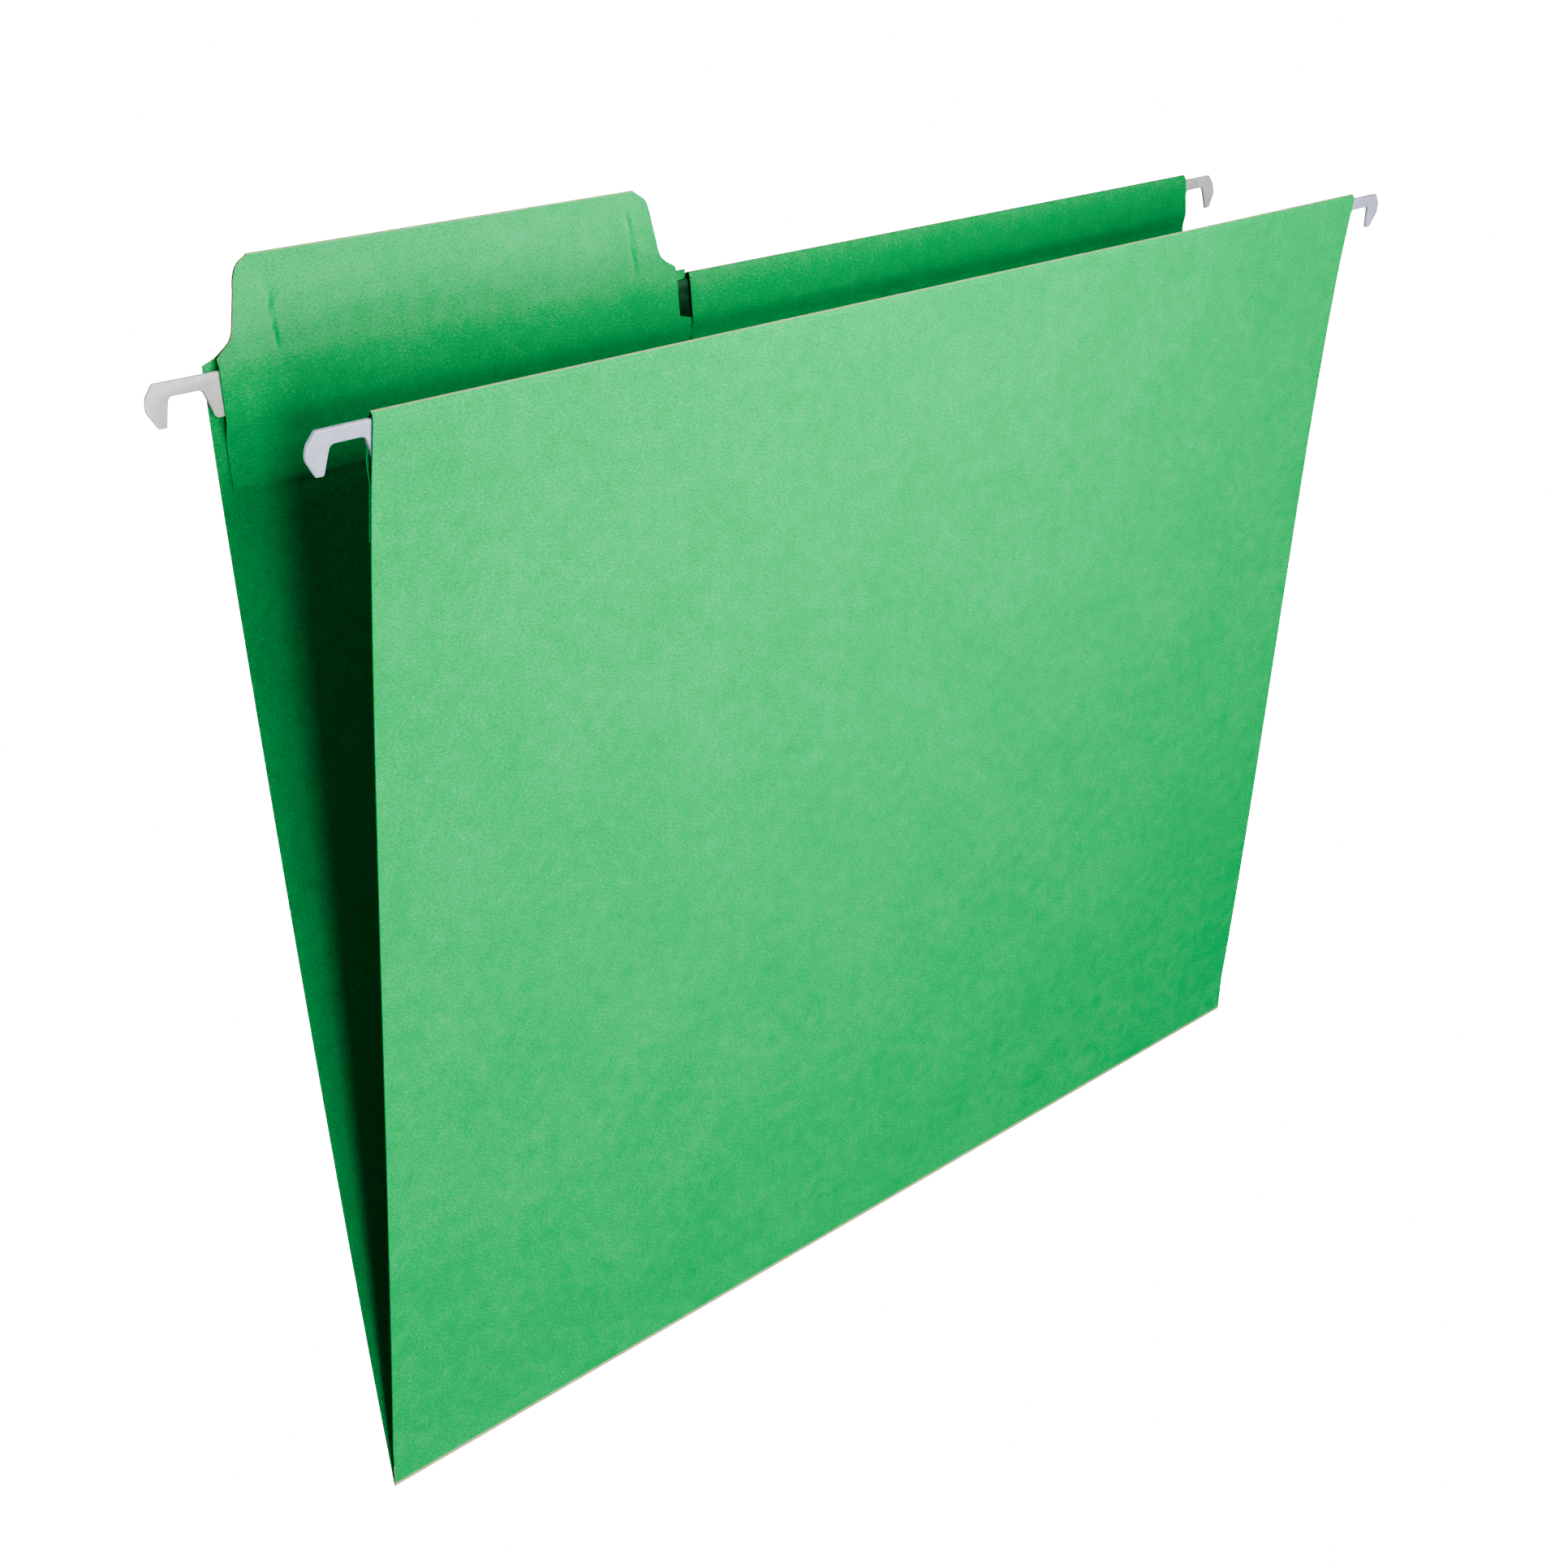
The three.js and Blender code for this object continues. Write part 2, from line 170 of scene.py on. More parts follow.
class Side:
    """One side of the folder. In its rod's section p points out of the folder and q up along the rod."""

    def __init__(self, seat, score, handles, foot_lean):
        place, axis = mounts[seat]["pos_m"], mounts[seat]["axis"]
        self.sign = math.copysign(1, place[1])
        self.lean = math.atan2(self.sign * -axis[1], -axis[2])
        self.seat = np.array(place[1:]) / MM
        self.up = np.array([-axis[1], -axis[2]])
        self.out = self.sign * np.array([self.up[1], -self.up[0]])
        self.score = np.array(joints[score]["pos_m"][1:]) / MM
        lean = math.radians(foot_lean)
        self.foot_up = np.array([self.sign * math.sin(lean), math.cos(lean)])
        fold_z = joints["bottom_fold"]["pos_m"][2] / MM
        self.foot = np.array([self.sign * FOLD_R, fold_z])
        self.strip_up = (self.score - self.foot) / np.linalg.norm(self.score - self.foot)
        self.strip_middle = (self.score + self.foot) / 2
        self.panel = self._panel(handles)

    def at(self, p, q):
        return self.seat + self.up * q + self.out * p

    def _panel(self, handles):
        """From the crease down to where the score starts to bend."""
        top = self.at(LEG_P, CREASE_Q)
        end = self.score + self.foot_up * SEAM_REACH
        top_handle = top - self.up * handles[0]
        end_handle = end + self.foot_up * handles[1]
        return bezier(top, top_handle, end_handle, end, 72)

    def inwards(self, distance):
        return self.panel - self.sign * distance * normals_of(self.panel)

    def score_bend(self):
        below = self.score - self.strip_up * SEAM_REACH
        above = self.score + self.foot_up * SEAM_REACH
        return bezier(above, (above + self.score) / 2, (below + self.score) / 2, below, 6)

    def panel_down(self):
        """Down the panel, round the score and halfway down the strip."""
        bend = self.score_bend()
        return chain(self.panel, bend, straight(bend[-1], self.strip_middle, 1.2))

    def roll(self):
        """Over the sleeve's rounded top, from the inner shoulder to the outer one."""
        top = self.at(0, SLEEVE_TOP_Q)
        halves = []
        for sign in (-1, 1):
            shoulder = self.at(sign * LEG_P, SLEEVE_SHOULDER_Q)
            handle = self.at(sign * LEG_P, SLEEVE_SHOULDER_Q + 1)
            halves.append(bezier(shoulder, handle, self.at(sign * LEG_P * 0.55, SLEEVE_TOP_Q), top, 9))
        return chain(halves[0], halves[1][::-1])

    def flap_up(self, turn):
        """Up the glued flap and in under the rod to the foot of the sleeve's inner wall."""
        inner = self.inwards(PLY_PITCH)
        run = lengths_along(inner)
        stations = np.linspace(FLAP_LENGTH, turn, 8)
        flap = np.array([[np.interp(s, run, inner[:, k]) for k in range(2)] for s in stations])
        foot = self.at(-LEG_P, SLEEVE_FOOT_Q)
        turn_in = bezier(flap[-1], flap[-1] + self.up * turn * 0.5, foot - self.up * turn * 0.5, foot, 14)
        return chain(flap, turn_in)


front = Side("front_left_seat", "front_score", FRONT_HANDLES, FRONT_FOOT_LEAN)
back = Side("back_left_seat", "back_score", BACK_HANDLES, BACK_FOOT_LEAN)


def sleeve_down(side):
    """From the flap's free edge round the rod to the crease."""
    inner_wall = straight(side.at(-LEG_P, SLEEVE_FOOT_Q), side.at(-LEG_P, SLEEVE_SHOULDER_Q), 1)
    outer_wall = straight(side.at(LEG_P, SLEEVE_SHOULDER_Q), side.at(LEG_P, CREASE_Q), 1)
    return chain(side.flap_up(SLEEVE_TURN), inner_wall, side.roll(), outer_wall)


# ---- Outlines ----


def rounded(corners, steps=7):
    """A line through corners given as (x, y) or (x, y, radius); it isn't closed.

    A corner with a radius becomes a parabola that starts and ends where an arc of that radius would.
    """
    points = []
    for i, corner in enumerate(corners):
        here = np.array(corner[:2], float)
        radius = corner[2] if len(corner) > 2 else 0
        if radius == 0:
            points.append(here[None])
            continue
        before = np.array(corners[i - 1][:2], float)
        after = np.array(corners[(i + 1) % len(corners)][:2], float)
        to_before = (before - here) / np.linalg.norm(before - here)
        to_after = (after - here) / np.linalg.norm(after - here)
        reach = radius / math.tan(math.acos(to_before @ to_after) / 2)
        t = np.linspace(0, 1, steps + 1)[:, None]
        start, end = here + to_before * reach, here + to_after * reach
        points.append((1 - t) ** 2 * start + 2 * t * (1 - t) * here + t**2 * end)
    return np.vstack(points)


TAB_LEFT_SIDE = np.vstack(
    [
        rounded([(-HALF_WIDTH, SHOULDER_Q), (TAB_PLY_LEFT, 5.2), (-142.7, 8.1, 4.5), (-141.1, 16.5)]),
        bezier((-141.1, 16.5), (-140.8, 20.2), (-139.8, 21.8), (-137.7, 22.5), 10)[1:],
        [(-137.1, TAB_TOP_Q)],
    ]
)
TAB_RIGHT_SIDE = np.vstack(
    [
        [(SLEEVE_LEFT, WINDOW_TOP_Q)],
        rounded(
            [
                (WINDOW_LEFT + 0.6, WINDOW_TOP_Q + 0.01),
                (WINDOW_LEFT + 0.2, 6),
                (-36.5, 8.2, 4),
                (-38.2, 16.5),
            ]
        ),
        bezier((-38.2, 16.5), (-38.7, 19.3), (-39, 20.6), (-40.2, 21.4), 10)[1:],
        [(-42.7, TAB_TOP_Q)],
    ]
)


def edge_at(side, q):
    """Where the tab's side lies at a height q."""
    return float(np.interp(q, side[:, 1], side[:, 0]))


# ---- Meshes ----


class Sheet:
    """A card mesh under way: vertices on the card's middle surface, with their place on the flat sheet."""

    def __init__(self):
        self.points = []
        self.flat = []
        self.wear = []
        # Painted light and shade for each vertex, added to the card's tone.
        self.painted_shading = []
        self.faces = []

    def row(self, place, xs, flat_y, wear=0.0, shift=None, painted_shading=None):
        """Adds one row of vertices at a (y, z) place and returns their numbers."""
        first = len(self.points)
        for i, x in enumerate(xs):
            y, z = place if shift is None else place + shift[i]
            self.points.append((x * MM, y * MM, z * MM))
            self.flat.append((x * MM, flat_y * MM))
            self.wear.append(wear)
            self.painted_shading.append(painted_shading[i] if painted_shading else 0.0)
        return list(range(first, len(self.points)))

    def join(self, upper, lower):
        """Faces between two rows of the same length."""
        for i in range(len(upper) - 1):
            self.faces.append((upper[i], upper[i + 1], lower[i + 1], lower[i]))

    def make(self, name, sign, edge):
        """The solid card. Sign turns its faces to the outside, and edge is the cut edges' material."""
        mesh = bpy.data.meshes.new(name)
        faces = [face if sign > 0 else face[::-1] for face in self.faces]
        mesh.from_pydata(self.points, [], faces)
        uv = mesh.uv_layers.new(name="sheet")
        for loop in mesh.loops:
            uv.data[loop.index].uv = self.flat[loop.vertex_index]
        for word, values in (("wear", self.wear), ("painted_shading", self.painted_shading)):
            mesh.attributes.new(word, "FLOAT", "POINT").data.foreach_set("value", values)
        obj = bpy.data.objects.new(name, mesh)
        bpy.context.scene.collection.objects.link(obj)
        solid = obj.modifiers.new("thickness", "SOLIDIFY")
        solid.thickness = CARD * MM
        solid.offset = 0
        solid.use_even_offset = True
        solid.material_offset_rim = 1
        obj.data.materials.append(card)
        obj.data.materials.append(edge)
        apply_modifiers(obj)
        obj.data.shade_smooth()
        obj.data.set_sharp_from_angle(angle=math.radians(50))
        return obj


def apply_modifiers(obj):
    graph = bpy.context.evaluated_depsgraph_get()
    mesh = bpy.data.meshes.new_from_object(obj.evaluated_get(graph))
    obj.modifiers.clear()
    obj.data = mesh
    mesh.name = obj.name


def warp(x, s, seed):
    """How far a big flat area wanders, for a place on the flat sheet, fading out at its borders."""
    start, end = WARP_BORDERS
    ends = min(1.0, max(0.0, s - start) / WARP_FADE) * min(1.0, max(0.0, end - s) / WARP_FADE)
    slow = noise.noise(Vector((x / WARP_WAVE, s / WARP_WAVE, seed)))
    return WARP * ends * slow


def painted_light_above_rod(side, place):
    """Painted light: how much paler the card is painted at a section's place, most above the rod."""
    q = (place - side.seat) @ side.up
    return 0.5 * min(1.0, max(0.0, (q + 1) / 6))


def even(start, end, step):
    """Evenly spaced values from start to end, about one step apart."""
    count = max(1, round(abs(end - start) / step))
    return np.linspace(start, end, count + 1)


def add_panel(sheet, side, xs, top_row, flat_y, seed):
    """The panel, its score and half of the strip, below a row of vertices at the crease."""
    path = side.panel_down()
    run = lengths_along(path)
    normals = normals_of(path)
    above = top_row
    for place, normal, s in list(zip(path, normals, run))[1:]:
        shift = [normal * warp(x, s, seed) for x in xs]
        below = sheet.row(place, xs, flat_y - s, shift=shift)
        sheet.join(above, below)
        above = below
    return above


def fold_wear(distance, reach):
    """Wear at a distance from the middle of a fold, which is 1 there and gone at its reach."""
    return max(0.0, 1 - (distance / reach) ** 2)


def sleeve_wear(distance):
    """Wear at a distance along the card from the top of a sleeve."""
    return 0.65 * fold_wear(distance - 0.1, 0.7 * WEAR_REACH)


def add_sleeve(sheet, side, xs):
    """The glued flap and the sleeve, down to the crease. The flat sheet's origin is at the crease."""
    path = sleeve_down(side)
    run = lengths_along(path)
    top = side.at(0, SLEEVE_TOP_Q)
    apex = run[np.argmin(np.linalg.norm(path - top, axis=1))]
    above = None
    for place, s in zip(path, run):
        below = sheet.row(place, xs, run[-1] - s, wear=sleeve_wear(s - apex))
        if above:
            sheet.join(above, below)
        above = below
    return above


def front_sheet():
    sheet = Sheet()
    xs = even(-HALF_WIDTH, HALF_WIDTH, COLUMN_WIDTH)
    crease = add_sleeve(sheet, front, xs)
    add_panel(sheet, front, xs, crease, 0, seed=1.7)
    return sheet.make("front_panel_card", 1, dark_green_edge)


def gusset_sheet():
    """Half of each strip and the lowest fold between them."""
    sheet = Sheet()
    xs = even(-HALF_WIDTH, HALF_WIDTH, COLUMN_WIDTH)
    fold_z = front.foot[1]
    turn = np.linspace(0, math.pi, 13)[:, None]
    arc = np.hstack([np.cos(turn) * FOLD_R, fold_z - np.sin(turn) * FOLD_R])
    down = straight(back.strip_middle, back.foot, 0.5)
    up = straight(front.foot, front.strip_middle, 0.5)
    path = chain(down, arc, up)
    run = lengths_along(path)
    middle = lengths_along(down)[-1] + math.pi * FOLD_R / 2
    above = None
    for place, s in zip(path, run):
        below = sheet.row(place, xs, -300 - s, wear=fold_wear(s - middle - 0.35, 1.7 * WEAR_REACH))
        if above:
            sheet.join(above, below)
        above = below
    return sheet.make("bottom_fold_card", -1, pale_edge)


# The top and bottom of each guide line, as (x, q).
EMBOSS_LINES = (((-133.7, 18), (-132.9, 4.5)), ((-44.6, 19.2), (-43.3, 5.9)))


def emboss(x, q):
    """How deep the tab's guide lines are pressed in, and their painted shade and highlight: darker below zero."""
    depth, tone = 0.0, 0.0
    for top, bottom in EMBOSS_LINES:
        t = (top[1] - q) / (top[1] - bottom[1])
        if not -0.05 < t < 1.05:
            continue
        across = (x - top[0] - (bottom[0] - top[0]) * t) / EMBOSS_WIDTH
        fade = min(1, (t + 0.05) / 0.2, (1.05 - t) / 0.2)
        depth += EMBOSS_DEPTH * fade * math.exp(-(across**2))
        # Painted highlight to the left of each groove and painted shade in it.
        tone += fade * (0.8 * math.exp(-((across + 1.2) ** 2)) - 1.7 * math.exp(-((across / 0.7) ** 2)))
    return depth, tone


def tab_columns():
    """Places across the tab from 0 to 1, close together near its guide lines."""
    left, right = -HALF_WIDTH, SLEEVE_LEFT
    stops = [
        even(left, -138.5, 1.2),
        even(-138.5, -128, 0.35),
        even(-128, -50, 3),
        even(-50, -38, 0.35),
        even(-38, right, 1),
    ]
    xs = np.unique(np.concatenate(stops).round(4))
    return (xs - left) / (right - left)


def ply_bend(side, sign):
    """From beside the rod up to where the two tab plies lie flat on each other."""
    level = sign * PLY_PITCH / 2
    return bezier(
        side.at(sign * LEG_P, SLEEVE_SHOULDER_Q),
        side.at(sign * LEG_P, SLEEVE_SHOULDER_Q + 2.4),
        side.at(level, TAB_LEVEL_Q - 3),
        side.at(level, TAB_LEVEL_Q),
        36,
    )


OUTER_PLY, TOP_FOLD, INNER_PLY, FLAP = 1, 0, -1, -2


def tab_rows(side):
    """The tab's path as (place, q, ply): up from the outer shoulder, over the fold and down to the flap."""
    radius = PLY_PITCH / 2
    fold_q = TAB_TOP_Q - radius
    heights = np.concatenate([even(TAB_LEVEL_Q, TAB_FINE_Q, 0.5), even(TAB_FINE_Q, fold_q, 0.15)[1:]])
    outer = list(ply_bend(side, 1)) + [side.at(radius, q) for q in heights[1:]]
    turn = np.linspace(0, math.pi, 9)[1:-1]
    fold = [side.at(math.cos(a) * radius, fold_q + math.sin(a) * radius) for a in turn]
    inner = [side.at(-radius, q) for q in heights[::-1]] + list(ply_bend(side, -1)[::-1])[1:]
    beside_rod = list(straight(inner[-1], side.at(-LEG_P, WINDOW_FOOT_Q), 1)[1:])
    foot = straight(beside_rod[-1], side.at(-LEG_P, SLEEVE_FOOT_Q), 1)
    flap = list(chain(foot, side.flap_up(TAB_TURN)[::-1])[1:])
    rows = [(place, OUTER_PLY) for place in outer] + [(place, TOP_FOLD) for place in fold]
    rows += [(place, INNER_PLY) for place in inner + beside_rod] + [(place, FLAP) for place in flap]
    heights_of = [float((place - side.seat) @ side.up) for place, ply in rows]
    return [(place, q, ply) for (place, ply), q in zip(rows, heights_of)]


def tab_span(q, ply):
    """The tab's left and right edge at a height q of one ply."""
    q = min(q, TAB_TOP_Q)
    if ply in (OUTER_PLY, TOP_FOLD):
        left = -HALF_WIDTH if q <= SHOULDER_Q else edge_at(TAB_LEFT_SIDE, q)
        right = SLEEVE_LEFT if q <= WINDOW_TOP_Q else edge_at(TAB_RIGHT_SIDE, q)
        return left, right
    left = max(TAB_PLY_LEFT, edge_at(TAB_LEFT_SIDE, q))
    if ply == FLAP:
        return left, SLEEVE_LEFT - SLIT
    right = min(WINDOW_LEFT + 0.1 * max(0, q - 4), edge_at(TAB_RIGHT_SIDE, max(q, 5.5)))
    return left, right


def give_inner_edges_dark_green(panel):
    """Gives the cut edges inside the folder's outline the dark green cut-edge material."""
    panel.data.materials.append(dark_green_edge)
    sleeve_top = back.at(0, SLEEVE_TOP_Q)[1] * MM
    left = (TAB_PLY_LEFT - 1) * MM
    right = (HALF_WIDTH - 1) * MM
    for face in panel.data.polygons:
        inside = left < face.center.x < right and face.center.z < sleeve_top
        if face.material_index == 1 and inside:
            face.material_index = 2


def back_sheet():
    """The back panel, its rolled sleeve and the tab with both its plies."""
    sheet = Sheet()
    across = tab_columns()
    sleeve_xs = even(SLEEVE_LEFT, HALF_WIDTH, COLUMN_WIDTH)
    tab_xs = -HALF_WIDTH + across * (SLEEVE_LEFT + HALF_WIDTH)
    xs = np.concatenate([tab_xs, sleeve_xs[1:]])

    outer_wall = straight(back.at(LEG_P, SLEEVE_SHOULDER_Q), back.at(LEG_P, CREASE_Q), 1)
    run = lengths_along(outer_wall)
    shoulder = sheet.row(outer_wall[0], xs, run[-1])
    above = shoulder
    for place, s in list(zip(outer_wall, run))[1:]:
        below = sheet.row(place, xs, run[-1] - s)
        sheet.join(above, below)
        above = below
    add_panel(sheet, back, xs, above, 0, seed=8.3)

    inner_wall = straight(back.at(-LEG_P, SLEEVE_FOOT_Q), back.at(-LEG_P, SLEEVE_SHOULDER_Q), 1)
    rolled = chain(back.flap_up(SLEEVE_TURN), inner_wall, back.roll())[::-1]
    rolled_run = lengths_along(rolled)
    apex = rolled_run[np.argmin(np.linalg.norm(rolled - back.at(0, SLEEVE_TOP_Q), axis=1))]
    above = shoulder[len(tab_xs) - 1 :]
    for place, s in list(zip(rolled, rolled_run))[1:]:
        worn = sleeve_wear(s - apex)
        # Painted light, paler towards the back sleeve's top.
        painted_tones = [painted_light_above_rod(back, place)] * len(sleeve_xs)
        below = sheet.row(place, sleeve_xs, run[-1] + s, wear=worn, painted_shading=painted_tones)
        sheet.join(below, above)
        above = below

    above = shoulder[: len(tab_xs)]
    s, last = run[-1], outer_wall[0]
    for place, q, ply in tab_rows(back)[1:]:
        s += np.linalg.norm(place - last)
        left, right = tab_span(q, ply)
        row_xs = left + across * (right - left)
        flat = ply in (OUTER_PLY, INNER_PLY)
        pressed = [emboss(x, q) if flat else (0.0, 0.0) for x in row_xs]
        shift = [back.out * depth for depth, tone in pressed]
        worn = 0 if ply == OUTER_PLY else 0.6 * fold_wear(q - TAB_TOP_Q, TAB_WEAR_REACH)
        # Painted light on the tab, with painted shade in each guide line and a painted highlight beside it.
        painted_tones = [painted_light_above_rod(back, place) + tone for depth, tone in pressed]
        below = sheet.row(place, row_xs, s, wear=worn, shift=shift, painted_shading=painted_tones)
        sheet.join(below, above)
        above, last = below, place
    panel = sheet.make("back_panel_card", -1, pale_edge)
    give_inner_edges_dark_green(panel)
    return panel


# ---- Materials ----


class Shader:
    """A small help to build a node material: each call adds a node and returns its output."""

    def __init__(self, name):
        self.material = bpy.data.materials.new(name)
        self.material.use_nodes = True
        self.tree = self.material.node_tree
        self.surface = self.tree.nodes["Principled BSDF"]

    def node(self, kind, **settings):
        made = self.tree.nodes.new(kind)
        for key, value in settings.items():
            setattr(made, key, value)
        return made

    def link(self, source, target):
        self.tree.links.new(source, target)

    def uv(self):
        return self.node("ShaderNodeUVMap", uv_map="sheet").outputs["UV"]

    def place(self):
        return self.node("ShaderNodeTexCoord").outputs["Object"]

    def scaled(self, vector, scale, turn=0.0):
        made = self.node("ShaderNodeMapping")
        made.inputs["Scale"].default_value = scale
        made.inputs["Rotation"].default_value = (0, 0, turn)
        self.link(vector, made.inputs["Vector"])
        return made.outputs["Vector"]

    def noise(self, vector, scale, detail=2.0, roughness=0.5):
        made = self.node("ShaderNodeTexNoise")
        made.inputs["Scale"].default_value = scale
        made.inputs["Detail"].default_value = detail
        made.inputs["Roughness"].default_value = roughness
        self.link(vector, made.inputs["Vector"])
        return made.outputs["Fac"]

    def math(self, operation, a, b=0.0, clamp=False):
        made = self.node("ShaderNodeMath", operation=operation, use_clamp=clamp)
        for socket, value in zip(made.inputs, (a, b)):
            if isinstance(value, (int, float)):
                socket.default_value = value
            else:
                self.link(value, socket)
        return made.outputs["Value"]

    def weighed(self, *parts):
        """The sum of (value, weight) pairs, each value counted from its middle of 0.5, round 0.5."""
        total = 0.5
        for value, weight in parts:
            swing = self.math("MULTIPLY", self.math("SUBTRACT", value, 0.5), weight)
            total = self.math("ADD", swing, total)
        return total

    def ramp(self, factor, *stops):
        made = self.node("ShaderNodeValToRGB")
        elements = made.color_ramp.elements
        while len(elements) < len(stops):
            elements.new(0.5)
        for element, (position, colour) in zip(elements, stops):
            element.position = position
            element.color = (*colour, 1)
        self.link(factor, made.inputs["Fac"])
        return made.outputs["Color"]

    def mix(self, factor, a, b):
        made = self.node("ShaderNodeMix", data_type="RGBA")
        for word, value in (("Factor", factor), ("A", a), ("B", b)):
            socket = made.inputs[word]
            if isinstance(value, tuple):
                socket.default_value = (*value, 1)
            else:
                self.link(value, socket)
        return made.outputs["Result"]

    def attribute(self, name):
        return self.node("ShaderNodeAttribute", attribute_name=name).outputs["Fac"]

    def bump(self, height, distance, strength=1.0):
        made = self.node("ShaderNodeBump")
        made.inputs["Distance"].default_value = distance
        made.inputs["Strength"].default_value = strength
        self.link(height, made.inputs["Height"])
        self.link(made.outputs["Normal"], self.surface.inputs["Normal"])

    def set(self, **values):
        for name, value in values.items():
            socket = self.surface.inputs[name.replace("_", " ").title() if name != "IOR" else name]
            if isinstance(value, (int, float)):
                socket.default_value = value
            else:
                self.link(value, socket)


def card_material():
    """Dyed card: fine fibres, a mottle of a few millimetres and slow clouds."""
    shader = Shader("green_card")
    uv = shader.uv()
    fibre_one = shader.noise(shader.scaled(uv, (1200, 2900, 1), 0.2), 1, 3, 0.65)
    fibre_two = shader.noise(shader.scaled(uv, (2900, 1500, 1), 0.5), 1, 3, 0.65)
    grain = shader.noise(uv, 3600, 3, 0.7)
    mottle = shader.noise(uv, 260, 5, 0.62)
    cloud = shader.noise(uv, 40, 3, 0.55)
    fibres = ((fibre_one, 1.1), (fibre_two, 0.6), (grain, 0.8))
    tone = shader.weighed(*fibres, (mottle, 0.5), (cloud, 0.25))
    # Painted light and shade from the mesh: tab and back sleeve paler above the rod, guide lines shaded and lit.
    tone = shader.math("ADD", tone, shader.math("MULTIPLY", shader.attribute("painted_shading"), 0.3))
    dyed = shader.ramp(tone, (0.22, CARD_DARK), (0.5, CARD_MIDDLE), (0.8, CARD_LIGHT))
    wear_break = shader.noise(shader.scaled(uv, (700, 200, 1)), 1, 3, 0.7)
    wear = shader.math("MULTIPLY", shader.attribute("wear"), shader.math("ADD", wear_break, 0.45), clamp=True)
    shader.set(base_color=shader.mix(wear, dyed, WEAR_TAN))
    shader.set(roughness=shader.math("ADD", shader.math("MULTIPLY", mottle, 0.2), 0.62))
    shader.surface.inputs["Specular IOR Level"].default_value = 0.3
    height = shader.weighed((fibre_one, 0.5), (fibre_two, 0.5), (grain, 0.3), (mottle, 0.8))
    shader.bump(height, 0.09 * MM, 0.7)
    return shader.material


def cut_edge_material(name, stained, middle, pale):
    """The card's core, seen on its cut edges."""
    shader = Shader(name)
    uv = shader.uv()
    fibre = shader.noise(uv, 2500, 3, 0.7)
    stain = shader.noise(uv, 260, 3, 0.6)
    tone = shader.weighed((fibre, 0.8), (stain, 0.8))
    shader.set(base_color=shader.ramp(tone, (0.3, stained), (0.6, middle), (0.9, pale)))
    shader.surface.inputs["Roughness"].default_value = 0.9
    shader.surface.inputs["Specular IOR Level"].default_value = 0.2
    shader.bump(fibre, 0.04 * MM, 0.6)
    return shader.material


def coating_material(name, colour):
    """Smooth dipped coating with a faint orange-peel surface."""
    shader = Shader(name)
    place = shader.place()
    cloud = shader.noise(place, 260, 3, 0.5)
    grain = shader.noise(place, 2600, 2, 0.6)
    tone = shader.weighed((cloud, 0.7), (grain, 0.5))
    darker = tuple(0.9 * c for c in colour)
    lighter = tuple(min(1, 1.07 * c) for c in colour)
    shader.set(base_color=shader.ramp(tone, (0.25, darker), (0.75, lighter)))
    shader.set(roughness=shader.math("ADD", shader.math("MULTIPLY", cloud, 0.15), 0.2))
    shader.surface.inputs["Specular IOR Level"].default_value = 0.5
    shader.bump(shader.weighed((grain, 0.3), (cloud, 0.7)), 0.03 * MM, 0.5)
    return shader.material


def steel_in_painted_shade_material():
    """Cold-rolled strip with fine lines along its length and a few stains, in painted green shade."""
    shader = Shader("rolled_steel_in_painted_shade")
    place = shader.place()
    lines = shader.noise(shader.scaled(place, (40, 4000, 6000)), 1, 3, 0.6)
    stain = shader.noise(place, 180, 3, 0.6)
    tone = shader.weighed((lines, 0.7), (stain, 0.6))
    # The dark green base colour is painted shade and a painted reflection of the green card, where steel is grey.
    shader.set(base_color=shader.ramp(tone, (0.25, (0.05, 0.13, 0.08)), (0.75, (0.12, 0.26, 0.17))))
    shader.set(roughness=shader.math("ADD", shader.math("MULTIPLY", stain, 0.2), 0.28))
    shader.surface.inputs["Metallic"].default_value = 1
    shader.bump(lines, 0.01 * MM, 0.5)
    return shader.material


def adhesive_material():
    """Dried glue, a little uneven."""
    shader = Shader("dried_glue")
    place = shader.place()
    spread = shader.noise(shader.scaled(place, (60, 400, 400)), 1, 4, 0.6)
    bubbles = shader.noise(place, 1500, 2, 0.5)
    tone = shader.weighed((spread, 0.8), (bubbles, 0.4))
    shader.set(base_color=shader.ramp(tone, (0.3, (0.55, 0.47, 0.28)), (0.75, (0.82, 0.77, 0.58))))
    shader.set(roughness=shader.math("ADD", shader.math("MULTIPLY", bubbles, 0.3), 0.3))
    shader.bump(tone, 0.05 * MM, 0.6)
    return shader.material


card = card_material()
pale_edge = cut_edge_material("pale_cut_edge", EDGE_STAINED, EDGE_TAN, EDGE_PALE)
# Dark green cut edges, for the front sheet and for the cut edges inside the folder's outline.
dark_green_edge = cut_edge_material("dark_green_cut_edge", CARD_DARK, EDGE_DARK_GREEN, EDGE_STAINED)
back_coating = coating_material("grey_coating", (0.60, 0.60, 0.58))
# The front rod's coating: a darker, bluer copy of the back rod's grey, painted shade; both rods carry the same
# coating.
shaded_front_coating = coating_material("grey_coating_in_painted_shade", (0.43, 0.445, 0.54))
steel_in_painted_shade = steel_in_painted_shade_material()
adhesive = adhesive_material()

# ---- Rods ----

# The right-hand hook, as (x, q, rounding), from the strip's foot round the notch to the strip's top.
HOOK_CORNERS = (
    (148.1, ROD_FOOT_Q, 0.9),
    (150.4, 0, 1.4),
    (157.5, 0, 1.3),
    (158.6, ROD_FOOT_Q, 0.4),
    (160.2, ROD_FOOT_Q, 0.5),
    (162.5, -2, 2.2),
    (162.2, 0.6, 2.2),
    (160.4, ROD_TOP_Q, 0.8),
)


